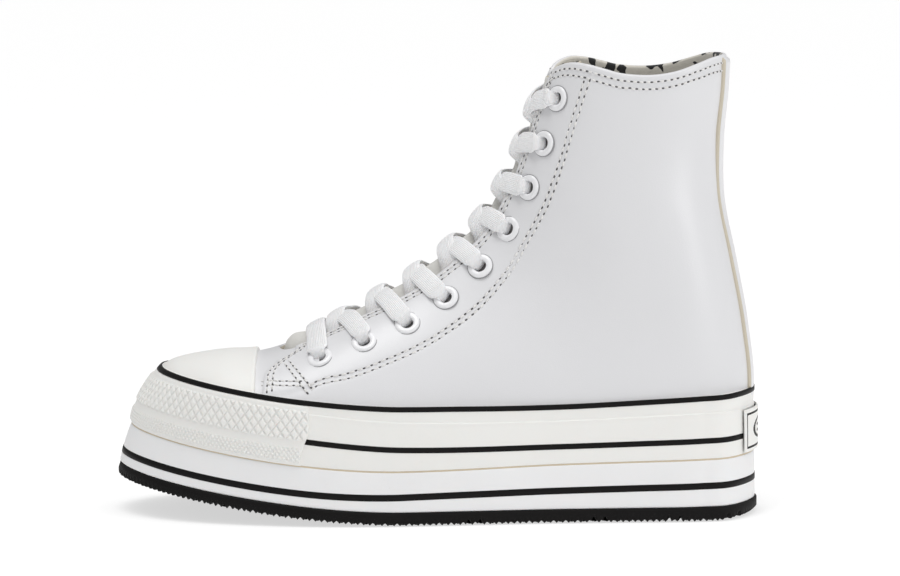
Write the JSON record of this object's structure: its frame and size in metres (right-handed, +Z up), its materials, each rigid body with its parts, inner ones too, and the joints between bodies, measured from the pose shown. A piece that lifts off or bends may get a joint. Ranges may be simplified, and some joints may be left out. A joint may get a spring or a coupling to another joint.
{
  "type": "platform sneaker",
  "caption": "Left high-top platform sneaker in white leather with a rubber toe cap, striped white platform sole, toothed black tread and flat laces.",
  "frame": {"origin": "middle of the footprint, on the ground", "axes": "+X towards the toe, +Y towards the outer side of the foot, +Z up"},
  "size_m": [0.2718, 0.1007, 0.1935],
  "materials": {
    "tread": "matt black moulded rubber with a toothed edge",
    "white_rubber": "satin off-white rubber",
    "black_stripe": "satin black rubber stripe",
    "badge": "satin white rubber with a plain black border",
    "leather": "smooth coated white leather, soft sheen",
    "tongue_leather": "white leather with a raw canvas-backed edge",
    "lining": "off-white woven lining with an abstract dark print",
    "eyelet": "white enamelled ring",
    "lace": "white flat woven lace"
  },
  "bodies": {
    "root": {"outsole": "tread", "platform": "white_rubber", "platform_stripe": "black_stripe", "foxing": "white_rubber", "foxing_stripe_outer": "black_stripe", "foxing_stripe_inner": "black_stripe", "foxing_pinstripe": "black_stripe", "toe_bumper": "white_rubber", "heel_patch": "badge", "upper": "leather", "toe_cap": "white_rubber", "heel_stay": "leather", "tongue": "tongue_leather", "insole": "lining", "eyelet_outer_1": "eyelet", "eyelet_inner_1": "eyelet", "eyelet_outer_2": "eyelet", "eyelet_inner_2": "eyelet", "eyelet_outer_3": "eyelet", "eyelet_inner_3": "eyelet", "eyelet_outer_4": "eyelet", "eyelet_inner_4": "eyelet", "eyelet_outer_5": "eyelet", "eyelet_inner_5": "eyelet", "eyelet_outer_6": "eyelet", "eyelet_inner_6": "eyelet", "eyelet_outer_7": "eyelet", "eyelet_inner_7": "eyelet", "eyelet_outer_8": "eyelet", "eyelet_inner_8": "eyelet", "eyelet_outer_9": "eyelet", "eyelet_inner_9": "eyelet", "lace_bar": "lace", "lace_cross_1": "lace", "lace_cross_2": "lace", "lace_cross_3": "lace", "lace_cross_4": "lace", "lace_cross_5": "lace", "lace_cross_6": "lace", "lace_cross_7": "lace", "lace_cross_8": "lace"}
  },
  "joints": []
}
